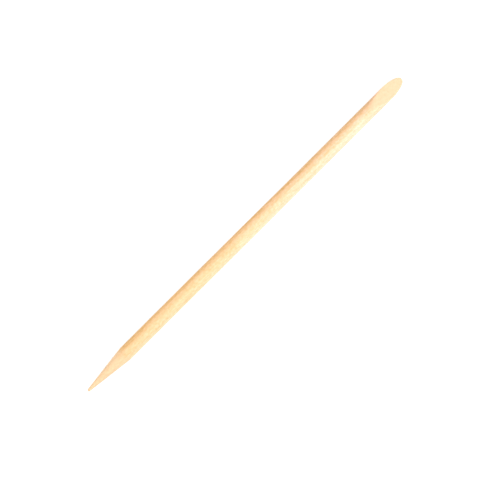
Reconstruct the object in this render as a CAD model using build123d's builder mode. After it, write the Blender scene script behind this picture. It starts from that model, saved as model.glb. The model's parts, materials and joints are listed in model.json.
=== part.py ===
from build123d import *
import os

# A wooden manicure stick for pushing back cuticles: one round dowel, sanded to a blunt
# conical point at one end and to a flat slanting bevel at the other.  The real object is a
# single piece of wood, so the model is a single solid.
#
# Frame: +X runs along the stick from the point to the bevel, and +Z is up.  The stick lies
# on Z = 0 with its bevel facing up, and the origin is under its middle.  Millimetres.

# ---- driving dimensions ----

overall_length = 114.0  # the common 4 1/2 inch stick
shaft_diameter = 4.0

point_length = 13.6  # from the blunt tip to the shoulder
point_tip_diameter = 0.7  # left blunt, so that it doesn't prick
point_tip_rounding = 0.15
shoulder_rounding = 25.0  # a long radius: the taper runs softly into the shaft

bevel_length = 10.5  # from the top of the slope to the thin edge
thin_edge_height = 0.3  # wood left under the slope at the very end
thin_edge_half_length = 5.9  # the half ellipse that rounds the thin edge in plan
thin_edge_half_width = 2.02  # just wider than the shaft, so that its sides run out cleanly

# ---- places worked out from them ----

shaft_radius = shaft_diameter / 2
point_tip_x = -overall_length / 2
shoulder_x = point_tip_x + point_length
thin_edge_x = overall_length / 2
bevel_top_x = thin_edge_x - bevel_length
bevel_slope = (shaft_diameter - thin_edge_height) / bevel_length
ellipse_centre_x = thin_edge_x - thin_edge_half_length

stick_axis = Axis((0, 0, shaft_radius), (1, 0, 0))
profile_plane = Plane(origin=(0, 0, shaft_radius), x_dir=(1, 0, 0), z_dir=(0, -1, 0))
bevel_plane = Plane(
    origin=(bevel_top_x, 0, shaft_diameter),
    x_dir=(1, 0, -bevel_slope),
    z_dir=(bevel_slope, 0, 1),
)

os.makedirs("parts", exist_ok=True)

# ---- the stick ----

with BuildPart() as wood_stick:
    # The point and the round shaft are turned about the stick's axis.
    with BuildSketch(profile_plane):
        with BuildLine():
            Polyline(
                (point_tip_x, 0),
                (point_tip_x, point_tip_diameter / 2),
                (shoulder_x, shaft_radius),
                (thin_edge_x, shaft_radius),
                (thin_edge_x, 0),
                close=True,
            )
        make_face()
        tip_corner = vertices().sort_by_distance((point_tip_x, point_tip_diameter / 2))[0]
        fillet(tip_corner, radius=point_tip_rounding)
        shoulder_corner = vertices().sort_by_distance((shoulder_x, shaft_radius))[0]
        fillet(shoulder_corner, radius=shoulder_rounding)
    revolve(axis=stick_axis)

    # The wood above the slanting plane is sanded away.
    split(bisect_by=bevel_plane, keep=Keep.BOTTOM)

    # The corners of the thin edge are rounded off, all the way down.
    with BuildSketch(Plane.XY):
        with Locations((ellipse_centre_x, 0)):
            Rectangle(
                thin_edge_half_length + shaft_radius,
                shaft_diameter + shaft_radius,
                align=(Align.MIN, Align.CENTER),
            )
            Ellipse(thin_edge_half_length, thin_edge_half_width, mode=Mode.SUBTRACT)
    extrude(amount=shaft_diameter, mode=Mode.SUBTRACT)

wood_stick.part.label = "wood_stick"
export_step(wood_stick.part, "parts/wood_stick.step")

# ---- figures for the mounts ----

round_wall = wood_stick.faces().filter_by(GeomType.CYLINDER).sort_by(SortBy.AREA)[-1]
wall_box = round_wall.bounding_box()
bevel_face = wood_stick.faces().filter_by(GeomType.PLANE).sort_by(SortBy.AREA)[-1]
bevel_middle = bevel_face.center()
bevel_normal = bevel_face.normal_at()
print(f"volume {wood_stick.part.volume:.1f} mm3")
print(f"round wall from x {wall_box.min.X:.2f} to {wall_box.max.X:.2f}")
print(f"bevel middle {bevel_middle.X:.3f} {bevel_middle.Y:.3f} {bevel_middle.Z:.3f}")
print(f"bevel normal {bevel_normal.X:.5f} {bevel_normal.Y:.5f} {bevel_normal.Z:.5f}")
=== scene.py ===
import json
import math

import bpy
import numpy as np
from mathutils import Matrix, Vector, noise


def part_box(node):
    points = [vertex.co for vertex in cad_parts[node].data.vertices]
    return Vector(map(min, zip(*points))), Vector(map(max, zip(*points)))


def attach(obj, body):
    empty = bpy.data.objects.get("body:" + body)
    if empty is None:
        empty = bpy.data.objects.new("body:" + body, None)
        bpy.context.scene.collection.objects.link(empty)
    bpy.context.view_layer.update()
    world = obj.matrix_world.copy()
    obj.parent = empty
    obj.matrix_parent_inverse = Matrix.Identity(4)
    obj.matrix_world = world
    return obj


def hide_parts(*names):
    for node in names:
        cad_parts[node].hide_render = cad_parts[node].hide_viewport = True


# A wooden manicure stick: a round shaft of pale wood, sanded to a blunt conical point at -X and
# to a slanting bevel, facing up, at +X.  It lies on a white floor under soft studio light.

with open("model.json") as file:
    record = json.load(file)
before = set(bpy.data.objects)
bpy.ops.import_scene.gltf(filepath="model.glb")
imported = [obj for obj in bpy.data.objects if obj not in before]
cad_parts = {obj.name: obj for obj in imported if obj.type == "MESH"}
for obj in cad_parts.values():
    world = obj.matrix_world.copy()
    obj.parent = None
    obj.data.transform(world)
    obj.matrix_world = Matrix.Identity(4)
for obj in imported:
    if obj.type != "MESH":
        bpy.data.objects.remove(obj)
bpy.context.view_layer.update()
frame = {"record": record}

MM = 0.001

# ---- places that the frame gives ----

stick_low, stick_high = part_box("wood_stick")
stick_length = stick_high.x - stick_low.x
mounts = {mount["name"]: mount for mount in frame["record"]["mounts"]}

shaft_axis_z = mounts["shaft"]["pos_m"][2]
shaft_radius = mounts["shaft"]["dims"]["r_mm"] * MM
shaft_start_x = stick_high.x - mounts["shaft"]["dims"]["length_mm"] * MM

bevel_x, _, bevel_z = mounts["bevel_face"]["pos_m"]
bevel_normal = Vector(mounts["bevel_face"]["axis"])
bevel_fall = bevel_normal.x / bevel_normal.z  # how far the slope drops for each metre along X
bevel_top_x = bevel_x - (shaft_axis_z + shaft_radius - bevel_z) / bevel_fall

# ---- camera: straight down on the bevel, with the point at the lower left ----

picture_turn = math.radians(-44.96)
picture_width = 1.0822 * stick_length  # at the height of the stick's axis
picture_centre = Vector((-1.93 * MM, -0.09 * MM, shaft_axis_z))
camera_distance = 0.45

camera_data = bpy.data.cameras.new("camera")
camera_data.sensor_width = 36.0
camera_data.lens = camera_data.sensor_width * camera_distance / picture_width
camera = bpy.data.objects.new("camera", camera_data)
camera.location = picture_centre + Vector((0, 0, camera_distance))
camera.rotation_euler = (0, 0, picture_turn)
bpy.context.collection.objects.link(camera)
bpy.context.scene.camera = camera

# ---- the stick's shape ----

tip_radius = 0.35 * MM
tip_rounding = 0.28 * MM
tip_slant = 0.12  # the blunt tip isn't cut quite square

# The straight taper would reach the shaft's radius a little before the shaft starts, and the
# shoulder curves from the one into the other.
shoulder_curve = 1.5 * MM
shoulder_softness = 0.12 * MM
taper_slope = (shaft_radius - tip_radius) / (shaft_start_x - shoulder_curve - stick_low.x)

thinning = 0.045 * MM  # the shaft is this much slimmer, in radius, towards the bevel
thinning_start_x = -5 * MM
thinning_end_x = 15 * MM
bow_height = 0.07 * MM  # the stick isn't quite straight
bow_half_wave = 80 * MM

bevel_wear = 0.3 * MM  # the slope is worn lower where it begins, and not at its thin edge
bevel_start_rounding = 0.4 * MM  # the slope begins softly, and its sides are crisper
bevel_side_rounding = 0.12 * MM
bevel_softness_start_x = bevel_top_x + 0.5 * MM
bevel_softness_end_x = bevel_top_x + 4 * MM

# Seen from above, the thin edge is a rounded curve.  An ellipse has 2 for both powers, and this
# curve is a little blunter.
thin_edge_length = 5.5 * MM
thin_edge_half_width = 2.02 * MM
thin_edge_length_power = 1.6
thin_edge_width_power = 2.3
thin_edge_rounding = 0.1 * MM

around_count = 200
shaft_step = 0.3 * MM
end_stretch = 1.2 * MM  # the stations crowd together over this length at both ends
end_steps = 16
end_depth = 0.004 * MM  # the first and the last ring are cut where the wood is this deep
search_count = 40001  # places along the stick where those two rings are looked for
ray_reach = 1.6  # how far out the surface is looked for, in shares of the ring's own size
halvings = 40  # how often the stretch that the surface crosses is halved


def smooth_step(value, start, end):
    """0 before start, 1 after end, and a smooth rise between them."""
    share = np.clip((value - start) / (end - start), 0, 1)
    return share * share * (3 - 2 * share)


def rounded_max(first, second, rounding):
    """The larger of two depths, with the edge where they cross rounded to a radius."""
    flat = np.minimum(-rounding, np.maximum(first, second))
    return flat + np.hypot(np.maximum(rounding + first, 0), np.maximum(rounding + second, 0))


def slimming(x):
    """How much slimmer the shaft is, in radius, than where it is thickest."""
    return thinning * smooth_step(x, thinning_start_x, thinning_end_x)


def round_radius(x):
    """Radius of the round wood: the point's taper running softly into the shaft."""
    taper = tip_radius + (x - stick_low.x) * taper_slope
    return -rounded_max(-taper, slimming(x) - shaft_radius, shoulder_softness)


def bow(x):
    """Sideways place of the stick's centre line."""
    return -bow_height * np.sin(math.pi * x / bow_half_wave)


def centre_height(x):
    """Height of the stick's centre line: the slimmer wood lies on the floor too."""
    return shaft_axis_z - slimming(x)


def bevel_height(x):
    """Height of the slope above the floor."""
    from_thin_edge = (stick_high.x - x) / (stick_high.x - bevel_top_x)
    return bevel_z - bevel_fall * (x - bevel_x) - bevel_wear * from_thin_edge


def bevel_rounding(x):
    """Radius of the worn edge between the slope and the round wood."""
    share = smooth_step(x, bevel_softness_start_x, bevel_softness_end_x)
    return bevel_start_rounding + share * (bevel_side_rounding - bevel_start_rounding)


def outside_thin_edge(x, y):
    """How far a point is outside the blunt curve that the bevel ends in, negative inside it."""
    along = np.maximum(x - stick_high.x + thin_edge_length, 0) / thin_edge_length
    across = np.abs(y - bow(x)) / thin_edge_half_width
    outside = along**thin_edge_length_power + across**thin_edge_width_power - 1
    side_steepness = thin_edge_width_power * across ** (thin_edge_width_power - 1)
    return outside / np.hypot(1 / thin_edge_length, side_steepness / thin_edge_half_width)


def depth(x, y, z):
    """Signed distance of a point from the stick's surface, negative inside the wood."""
    round_wood = np.hypot(y - bow(x), z - centre_height(x)) - round_radius(x)
    slope = (z - bevel_height(x)) * bevel_normal.z
    tip = stick_low.x - x + tip_slant * (y - bow(x))
    body = rounded_max(round_wood, slope, bevel_rounding(x))
    body = rounded_max(body, tip, tip_rounding)
    return rounded_max(body, outside_thin_edge(x, y), thin_edge_rounding)


def section_middle(x):
    """Height of the middle of the wood at x, and half of how high the wood is there."""
    bottom = centre_height(x) - round_radius(x)
    top = np.minimum(centre_height(x) + round_radius(x), bevel_height(x))
    return (bottom + top) / 2, (top - bottom) / 2


def stations():
    """Places along X of the mesh's rings, crowded at both ends, where the wood closes."""
    places = np.linspace(stick_low.x, stick_high.x, search_count)
    solid = places[depth(places, bow(places), section_middle(places)[0]) < -end_depth]
    first, last = solid[0], solid[-1]
    crowd = np.linspace(0, 1, end_steps, endpoint=False) ** 2 * end_stretch
    middle_count = round((last - first - 2 * end_stretch) / shaft_step)
    middle = np.linspace(first + end_stretch, last - end_stretch, middle_count)
    return np.concatenate([first + crowd, middle, last - crowd[::-1]])


station_x = stations()
turn = np.linspace(0, 2 * math.pi, around_count, endpoint=False)
ring_x = np.repeat(station_x[:, None], around_count, axis=1)
middle_z, half_height = section_middle(ring_x)
ray_y = round_radius(ring_x) * np.sin(turn)
ray_z = -half_height * np.cos(turn)

# Each ray is followed from the middle of the wood out to its surface.
near = np.zeros_like(ring_x)
far = np.full_like(ring_x, ray_reach)
for _ in range(halvings):
    reach = (near + far) / 2
    inside = depth(ring_x, bow(ring_x) + reach * ray_y, middle_z + reach * ray_z) < 0
    near = np.where(inside, reach, near)
    far = np.where(inside, far, reach)
ring_y = bow(ring_x) + near * ray_y
ring_z = middle_z + near * ray_z

# ---- fine relief: fibres, and the slight waves that sanding leaves ----

fibre_size = (9 * MM, 0.22 * MM)  # along the grain and across it
fibre_depth = 0.010 * MM
wave_size = (5 * MM, 1.4 * MM)
wave_depth = 0.026 * MM


def hollow(point, size, most):
    """Depth of the dents at a point: smooth noise from 0 to most, drawn out along the grain."""
    along, across = size
    place = Vector((point[0] / along, point[1] / across, point[2] / across))
    return most * (0.5 + 0.5 * noise.noise(place))


points = np.stack([ring_x, ring_y, ring_z], axis=-1)
along_stick = np.gradient(points, axis=0)
around_stick = np.roll(points, -1, axis=1) - np.roll(points, 1, axis=1)
normals = np.cross(around_stick, along_stick)
normals /= np.linalg.norm(normals, axis=-1, keepdims=True)
hollows = np.array([
    hollow(point, fibre_size, fibre_depth) + hollow(point, wave_size, wave_depth)
    for point in points.reshape(-1, 3)
])
points = points - hollows.reshape(ring_x.shape)[..., None] * normals

# ---- the stick's mesh ----

ring_count = len(station_x)
tip_middle = points[0].mean(axis=0)
end_middle = points[-1].mean(axis=0)
tip_index = ring_count * around_count
end_index = tip_index + 1

# Every face winds so that it looks outwards.
faces = []
for ring in range(ring_count - 1):
    for step in range(around_count):
        here = ring * around_count + step
        beside = ring * around_count + (step + 1) % around_count
        faces.append((here, beside, beside + around_count, here + around_count))
last_ring = (ring_count - 1) * around_count
for step in range(around_count):
    beside = (step + 1) % around_count
    faces.append((tip_index, beside, step))
    faces.append((end_index, last_ring + step, last_ring + beside))

mesh = bpy.data.meshes.new("wood_stick_surface")
all_points = [*points.reshape(-1, 3).tolist(), tip_middle.tolist(), end_middle.tolist()]
mesh.from_pydata(all_points, [], faces)
mesh.shade_smooth()
mesh.validate()
stick = bpy.data.objects.new("wood_stick_surface", mesh)
bpy.context.collection.objects.link(stick)

# ---- the mesh's own map, for baked textures: three strips, each a third of the stick ----

strip_count = 3
strip_margin = 0.015  # of the map's width, so that no strip bleeds into another

uv_layer = mesh.uv_layers.new(name="OFBake")
strip_length = stick_length / strip_count


def map_place(corner_x, share_around, strip):
    """Place on the map of a point of the surface: along the strip, and up it."""
    along = (corner_x - stick_low.x) / strip_length - strip
    up = (strip + strip_margin + share_around * (1 - 3 * strip_margin)) / strip_count
    return strip_margin + along * (1 - 2 * strip_margin), up


for polygon in mesh.polygons:
    middle_x = sum(mesh.vertices[index].co.x for index in polygon.vertices) / len(polygon.vertices)
    strip = min(int((middle_x - stick_low.x) / strip_length), strip_count - 1)
    steps = [index % around_count for index in polygon.vertices if index < tip_index]
    # A face that crosses the seam goes on past the strip's top, and not back to its bottom.
    crosses_seam = max(steps) - min(steps) > 1
    for loop_index, index in zip(polygon.loop_indices, polygon.vertices):
        step = index % around_count if index < tip_index else steps[0] + 0.5
        if crosses_seam and step < around_count / 2:
            step += around_count
        corner_x = mesh.vertices[index].co.x
        uv_layer.data[loop_index].uv = map_place(corner_x, step / around_count, strip)

# ---- wood: colours ----

pale_wood = (0.755, 0.51, 0.32, 1)
# painted highlight: the pale wood whiter towards the bevel
painted_highlight_wood = (0.755, 0.505, 0.37, 1)
deep_wood = (0.545, 0.315, 0.11, 1)
# painted shade: the deep wood deeper towards the bevel
painted_shade_wood = (0.52, 0.30, 0.103, 1)
pale_point = (0.725, 0.505, 0.31, 1)
deep_point = (0.61, 0.405, 0.225, 1)
pale_bevel = (0.64, 0.42, 0.27, 1)
deep_bevel = (0.555, 0.345, 0.20, 1)
pore_wood = (0.36, 0.20, 0.095, 1)

# ---- wood: sizes of its patterns, in millimetres along the grain and across it ----

fibre_pattern = (7, 0.11)
streak_pattern = (30, 0.65)
cloud_pattern = (7, 2.6)
mottling_pattern = (0.75, 0.55)
pore_pattern = (2.4, 0.15)
pore_patch_pattern = (9, 0.5)
sanding_pattern = (0.09, 1.8)
ring_wander_pattern = (26, 4)

grain_lean = (0, math.radians(0.9), math.radians(1.4))
heart_y = 46.0  # where the heart of the tree was, in millimetres
heart_z = -17.0
ring_width = 1.25
ring_wander = 0.5
late_wood_rise = (0.25, 0.88)  # between these shares of a growth ring, its late wood sets in
late_wood_end = (0.92, 1.0)  # and between these it gives way to the next ring
pore_edge = (0.12, 0.3)  # between these distances from its middle, a pore fades
pore_patch_edge = (0.5, 0.62)  # between these heights of the patches' noise, pores set in

# ---- wood: where its colour changes ----

point_fade = 4.5 * MM  # the point's own colour fades over this length before the shaft starts
bevel_lean = (0.03, 0.12)  # X of the surface's direction, from the round wood to the bevel
scuff_start_x = bevel_top_x - 5 * MM
scuff_end_x = bevel_top_x + 2 * MM
# over this stretch the painted highlight and the painted shade set in towards the bevel
painted_light_half_start_x = -20 * MM
painted_light_half_end_x = 35 * MM
painted_shade_side_slope = 0.5  # painted shade: the colour deepens by this much over each radius towards +Y, the side away from the lamps
painted_shade_side_edge = (0.3, 1.0)  # and the painted shade deepens more between these shares of the radius

# ---- wood: how strongly each thing shows ----

plain_tone = 0.37  # tones go from pale wood at 0 to deep wood at 1
# painted shade on the +Y side, away from the lamps
painted_shade_side_tone = 0.36
streak_tone = 0.10
cloud_tone = 0.13
mottling_tone = 0.50
fibre_tone = 0.46
late_wood_tone = 0.10
sanding_tone = 0.16

evening_out = 0.8  # the share of the painted shade on the +Y side that the sanded ends lose
scuffing = 0.8
pore_darkness = 0.4

gloss = 0.38
plain_roughness = 0.52
fibre_roughness = 0.10
pore_roughness = 0.15
cut_roughness = 0.06

fibre_height = 0.016 * MM
pore_height = -0.012 * MM
late_wood_height = 0.004 * MM
sanding_height = 0.006 * MM

# ---- wood: its material, and what its patterns are made with ----

wood = bpy.data.materials.new("wood")
wood.use_nodes = True
wood_nodes = wood.node_tree.nodes
wood_links = wood.node_tree.links
shader = wood_nodes["Principled BSDF"]


def connect(socket, value):
    """Links a socket to another node's output, or sets it to a plain value."""
    if isinstance(value, bpy.types.NodeSocket):
        wood_links.new(value, socket)
    else:
        socket.default_value = value


def calculate(operation, first, second=0.0, clamp=False):
    """The result of an operation on two numbers or outputs."""
    made = wood_nodes.new("ShaderNodeMath")
    made.operation = operation
    made.use_clamp = clamp
    connect(made.inputs[0], first)
    connect(made.inputs[1], second)
    return made.outputs[0]


def times(first, second):
    """The product of two numbers or outputs."""
    return calculate("MULTIPLY", first, second)


def rest_of(value):
    """What a share leaves of the whole."""
    return calculate("SUBTRACT", 1.0, value)


def total(*values):
    """The sum of several numbers or outputs."""
    result = values[0]
    for value in values[1:]:
        result = calculate("ADD", result, value)
    return result


def about_zero(value, amount):
    """Noise from 0 to 1 turned into a swing of an amount to each side of nothing."""
    return times(calculate("SUBTRACT", value, 0.5), 2 * amount)


def ease(value, start, end):
    """0 before start, 1 after end, and a smooth change between them."""
    made = wood_nodes.new("ShaderNodeMapRange")
    made.interpolation_type = "SMOOTHSTEP"
    connect(made.inputs["Value"], value)
    made.inputs["From Min"].default_value = start
    made.inputs["From Max"].default_value = end
    return made.outputs["Result"]


def blend(factor, first, second):
    """A colour between two others."""
    made = wood_nodes.new("ShaderNodeMix")
    made.data_type = "RGBA"
    connect(made.inputs["Factor"], factor)
    connect(made.inputs["A"], first)
    connect(made.inputs["B"], second)
    return made.outputs["Result"]


def parts_of(vector):
    """The X, Y and Z of a vector."""
    made = wood_nodes.new("ShaderNodeSeparateXYZ")
    connect(made.inputs[0], vector)
    return made.outputs


coordinates = wood_nodes.new("ShaderNodeTexCoord")

# The grain runs nearly along the stick: it leans a little, as it does in a cut blank.
grain_place = wood_nodes.new("ShaderNodeMapping")
grain_place.inputs["Rotation"].default_value = grain_lean
grain_place.inputs["Scale"].default_value = (1 / MM, 1 / MM, 1 / MM)
connect(grain_place.inputs["Vector"], coordinates.outputs["Object"])
grain = grain_place.outputs["Vector"]


def texture(kind, size, **settings):
    """The first output of a texture node, with its pattern stretched along the grain to a size."""
    along, across = size
    stretch = wood_nodes.new("ShaderNodeVectorMath")
    stretch.operation = "MULTIPLY"
    connect(stretch.inputs[0], grain)
    stretch.inputs[1].default_value = (1 / along, 1 / across, 1 / across)
    made = wood_nodes.new(kind)
    connect(made.inputs["Vector"], stretch.outputs[0])
    made.inputs["Scale"].default_value = 1.0
    for name, value in settings.items():
        made.inputs[name].default_value = value
    return made.outputs[0]


def soft_noise(size, detail, roughness=0.5):
    """Noise from 0 to 1, with more of its fine layers the higher the detail."""
    return texture("ShaderNodeTexNoise", size, Detail=detail, Roughness=roughness)


# ---- wood: its patterns ----


def growth_rings():
    """Late wood.  The blank was cut far out in the trunk, so the rings are faint bands along it."""
    place = parts_of(grain)
    y_square = calculate("POWER", calculate("SUBTRACT", place["Y"], heart_y), 2.0)
    z_square = calculate("POWER", calculate("SUBTRACT", place["Z"], heart_z), 2.0)
    heart_distance = calculate("SQRT", calculate("ADD", y_square, z_square))
    wander = about_zero(soft_noise(ring_wander_pattern, detail=2.0), ring_wander)
    ring_place = calculate("DIVIDE", calculate("ADD", heart_distance, wander), ring_width)
    ring_share = calculate("FRACT", ring_place)
    return times(ease(ring_share, *late_wood_rise), rest_of(ease(ring_share, *late_wood_end)))


def vessel_pores():
    """The short pores of the vessels, which come in patches."""
    from_pore = texture("ShaderNodeTexVoronoi", pore_pattern)
    patches = soft_noise(pore_patch_pattern, detail=2.0)
    return times(rest_of(ease(from_pore, *pore_edge)), ease(patches, *pore_patch_edge))


late_wood = growth_rings()
pores = vessel_pores()
fibres = soft_noise(fibre_pattern, detail=4.0, roughness=0.6)
streaks = soft_noise(streak_pattern, detail=3.0)
clouds = soft_noise(cloud_pattern, detail=2.0)
mottling = soft_noise(mottling_pattern, detail=2.0)

# Where the surface cuts across the fibres, on the point and the bevel, sanding marks run across.
stick_place = parts_of(coordinates.outputs["Object"])
surface = parts_of(coordinates.outputs["Normal"])
pointed = rest_of(ease(stick_place["X"], shaft_start_x - point_fade, shaft_start_x))
bevelled = ease(surface["X"], *bevel_lean)
cut_across = calculate("MAXIMUM", pointed, bevelled)
sanding_noise = soft_noise(sanding_pattern, detail=3.0, roughness=0.65)
sanding = times(cut_across, about_zero(sanding_noise, 1.0))

# Painted shade: the +Y side of the stick, away from the lamps, is coloured more deeply than the
# other, and most near its edge, but less so on the point and the bevel.
side_place = calculate("DIVIDE", stick_place["Y"], shaft_radius)
painted_shade_side_colour = total(
    times(side_place, painted_shade_side_slope),
    ease(side_place, *painted_shade_side_edge),
)
painted_shade_side = times(painted_shade_side_colour, rest_of(times(cut_across, evening_out)))

# ---- wood: its look ----

tone = total(
    plain_tone,
    # the painted shade on the +Y side
    times(painted_shade_side, painted_shade_side_tone),
    about_zero(streaks, streak_tone),
    about_zero(clouds, cloud_tone),
    about_zero(mottling, mottling_tone),
    about_zero(fibres, fibre_tone),
    times(late_wood, late_wood_tone),
    times(sanding, sanding_tone),
)
tone = calculate("ADD", tone, 0.0, clamp=True)

# Towards the bevel, the pale wood is a little whiter, a painted highlight, and the deep wood a
# little deeper, painted shade.  The sanded point is paler, and the bevel, which cuts the fibres
# more steeply, a little greyer.  The sanding of the bevel also scuffs the round wood beside it.
painted_light_half = ease(stick_place["X"], painted_light_half_start_x, painted_light_half_end_x)
pale_skin_and_highlight = blend(painted_light_half, pale_wood, painted_highlight_wood)
deep_skin_and_shade = blend(painted_light_half, deep_wood, painted_shade_wood)
scuffed = times(ease(stick_place["X"], scuff_start_x, scuff_end_x), scuffing)
bevel_colours = calculate("MAXIMUM", scuffed, bevelled)
pale_colour = blend(pointed, blend(bevel_colours, pale_skin_and_highlight, pale_bevel), pale_point)
deep_colour = blend(pointed, blend(bevel_colours, deep_skin_and_shade, deep_bevel), deep_point)
plain_colour = blend(tone, pale_colour, deep_colour)
connect(shader.inputs["Base Color"], blend(times(pores, pore_darkness), plain_colour, pore_wood))

shader.inputs["Specular IOR Level"].default_value = gloss
connect(shader.inputs["Roughness"], total(
    plain_roughness,
    about_zero(fibres, fibre_roughness),
    times(pores, pore_roughness),
    times(cut_across, cut_roughness),
))

bump = wood_nodes.new("ShaderNodeBump")
bump.inputs["Distance"].default_value = 1.0
connect(bump.inputs["Height"], total(
    times(fibres, fibre_height),
    times(pores, pore_height),
    times(late_wood, late_wood_height),
    times(sanding, sanding_height),
))
connect(shader.inputs["Normal"], bump.outputs["Normal"])
stick.data.materials.append(wood)

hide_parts("wood_stick")
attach(stick, "root")

# ---- floor: white all the way to its far edge ----

floor_half = 3.0
near_floor = 0.1  # within this distance the lamps light it fully, and its glow does the rest
far_floor = 0.6  # past this one the lamps no longer reach it, and the glow alone is white
near_glow = 0.85
far_glow = 1.0
floor_grey = (0.2, 0.2, 0.2, 1)

floor_corners = [(-1, -1), (1, -1), (1, 1), (-1, 1)]
floor_points = [(x_side * floor_half, y_side * floor_half, 0) for x_side, y_side in floor_corners]
floor_mesh = bpy.data.meshes.new("floor")
floor_mesh.from_pydata(floor_points, [], [(0, 1, 2, 3)])
floor = bpy.data.objects.new("floor", floor_mesh)
bpy.context.collection.objects.link(floor)

floor_paint = bpy.data.materials.new("floor")
floor_paint.use_nodes = True
floor_nodes = floor_paint.node_tree.nodes
floor_links = floor_paint.node_tree.links
floor_shader = floor_nodes["Principled BSDF"]
floor_shader.inputs["Base Color"].default_value = floor_grey
floor_shader.inputs["Roughness"].default_value = 1.0
floor_shader.inputs["Specular IOR Level"].default_value = 0.0
floor_shader.inputs["Emission Color"].default_value = (1, 1, 1, 1)
floor_place = floor_nodes.new("ShaderNodeTexCoord")
from_middle = floor_nodes.new("ShaderNodeVectorMath")
from_middle.operation = "LENGTH"
floor_links.new(floor_place.outputs["Object"], from_middle.inputs[0])
glow = floor_nodes.new("ShaderNodeMapRange")
glow.interpolation_type = "SMOOTHSTEP"
glow.inputs["From Min"].default_value = near_floor
glow.inputs["From Max"].default_value = far_floor
glow.inputs["To Min"].default_value = near_glow
glow.inputs["To Max"].default_value = far_glow
floor_links.new(from_middle.outputs["Value"], glow.inputs["Value"])
floor_links.new(glow.outputs["Result"], floor_shader.inputs["Emission Strength"])
floor.data.materials.append(floor_paint)

# ---- light ----

# The world is white to the camera and gives no light of its own.
world = bpy.data.worlds.new("studio")
world.use_nodes = True
world_nodes = world.node_tree.nodes
background = world_nodes["Background"]
background.inputs["Color"].default_value = (1, 1, 1, 1)
light_path = world_nodes.new("ShaderNodeLightPath")
world.node_tree.links.new(light_path.outputs["Is Camera Ray"], background.inputs["Strength"])
bpy.context.scene.world = world

softbox_size = 0.25
softbox_distance = 0.6


def add_softbox(name, direction, watts, shines=True):
    """A square soft light, turned towards the stick.  One that doesn't shine adds no gloss."""
    light = bpy.data.lights.new(name, "AREA")
    light.shape = "SQUARE"
    light.size = softbox_size
    light.energy = watts
    lamp = bpy.data.objects.new(name, light)
    towards = Vector(direction).normalized()
    lamp.location = towards * softbox_distance
    lamp.rotation_euler = towards.to_track_quat("Z", "Y").to_euler()
    lamp.visible_camera = False
    lamp.visible_glossy = shines
    bpy.context.collection.objects.link(lamp)


add_softbox("key_light", (0.6, -0.64, 0.77), 5.1)
add_softbox("low_light", (0.6, -0.99, 0.14), 2.0)
add_softbox("back_light", (0.0, 0.7, 0.7), 4.0, shines=False)
add_softbox("point_light", (-0.8, -0.2, 0.8), 0.9, shines=False)

view_settings = bpy.context.scene.view_settings
view_settings.view_transform = "Standard"
view_settings.look = "None"
